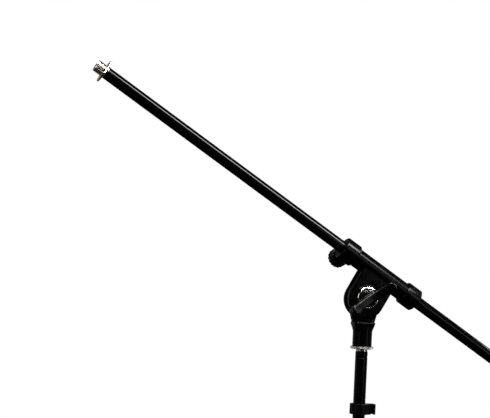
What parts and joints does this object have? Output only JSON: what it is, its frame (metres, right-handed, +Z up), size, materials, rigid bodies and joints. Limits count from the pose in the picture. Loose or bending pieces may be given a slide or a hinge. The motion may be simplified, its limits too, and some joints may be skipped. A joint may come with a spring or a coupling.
{
  "type": "microphone boom pole",
  "caption": "Black boom pole with threaded microphone end, clamped in a tilting sleeve head with T-handle, on a threaded upright rod with lock ring and cable clip.",
  "frame": {"origin": "centre of the upright rod's lower end", "axes": "+Z up along the upright rod; the boom lies in the XZ plane with its microphone end towards -X and up; the tilt axis is parallel to Y and the T-handle faces -Y"},
  "size_m": [0.6828, 0.0746, 0.6094],
  "materials": {
    "black_tube": "gloss black powder paint",
    "black_casting": "satin black paint on a die casting",
    "bright_plate": "bright nickel plate",
    "gloss_black_plastic": "glossy moulded black",
    "black_plastic": "satin moulded black",
    "steel": "zinc plated",
    "brass": "machined",
    "nylon": "natural nylon",
    "fibre": "dark friction fibre"
  },
  "bodies": {
    "stand_rod": {"upright_rod": "black_tube", "rod_thread_insert": "bright_plate"},
    "clip": {"cable_clip": "black_plastic"},
    "stand_ring": {"stand_lock_ring": "bright_plate"},
    "base": {"base_casting": "black_casting", "front_friction_disc": "fibre", "rear_friction_disc": "fibre"},
    "head": {"head_casting": "black_casting", "front_collar": "gloss_black_plastic", "rear_collar": "gloss_black_plastic", "clamp_nut": "steel", "pivot_bolt": "steel"},
    "washer": {"handle_washer": "bright_plate"},
    "handle": {"t_handle": "black_plastic", "handle_insert": "brass"},
    "pad": {"clamp_pad": "brass"},
    "knob": {"clamp_knob": "black_plastic", "clamp_screw": "steel"},
    "liners": {"front_liner": "nylon", "rear_liner": "nylon"},
    "boom": {"boom_tube": "black_tube", "boom_thread_insert": "bright_plate", "boom_end_cap": "black_plastic"},
    "mic_ring": {"mic_lock_ring": "bright_plate"}
  },
  "joints": [
    {"name": "clip_slide", "type": "slide", "parent": "stand_rod", "child": "clip", "axis": [0, 0, 1], "range_m": [-0.17, 0.06]},
    {"name": "stand_ring_travel", "type": "slide", "parent": "stand_rod", "child": "stand_ring", "axis": [0, 0, 1], "range_m": [-0.0028, 0]},
    {"name": "base_pan", "type": "hinge", "parent": "stand_rod", "child": "base", "pos_m": [0, 0, 0.267], "axis": [0, 0, 1], "range_deg": [-180, 180]},
    {"name": "boom_tilt", "type": "hinge", "parent": "base", "child": "head", "pos_m": [0, 0, 0.33], "axis": [0, 1, 0], "range_deg": [-122, 58]},
    {"name": "washer_travel", "type": "slide", "parent": "head", "child": "washer", "axis": [0, -1, 0], "range_m": [0, 0.00125]},
    {"name": "handle_turn", "type": "hinge", "parent": "washer", "child": "handle", "pos_m": [0, 0, 0.33], "axis": [0, -1, 0], "range_deg": [0, 360]},
    {"name": "pad_travel", "type": "slide", "parent": "head", "child": "pad", "axis": [-0.1985, 0.9272, -0.3177], "range_m": [0, 0.001]},
    {"name": "knob_turn", "type": "hinge", "parent": "pad", "child": "knob", "pos_m": [-0.02476, 0, 0.38851], "axis": [-0.1985, 0.9272, -0.3177], "range_deg": [0, 360]},
    {"name": "boom_roll", "type": "hinge", "parent": "head", "child": "liners", "pos_m": [0.01934, 0, 0.36095], "axis": [-0.848, 0, 0.5299], "continuous": true},
    {"name": "boom_slide", "type": "slide", "parent": "liners", "child": "boom", "axis": [-0.848, 0, 0.5299], "range_m": [-0.37, 0.255]},
    {"name": "mic_ring_travel", "type": "slide", "parent": "boom", "child": "mic_ring", "axis": [-0.848, 0, 0.5299], "range_m": [0, 0.008]}
  ],
  "couplings": [
    {"joint": "washer_travel", "follows": "handle_turn", "m_per_rad": 0.00019894},
    {"joint": "pad_travel", "follows": "knob_turn", "m_per_rad": 0.00015915}
  ]
}
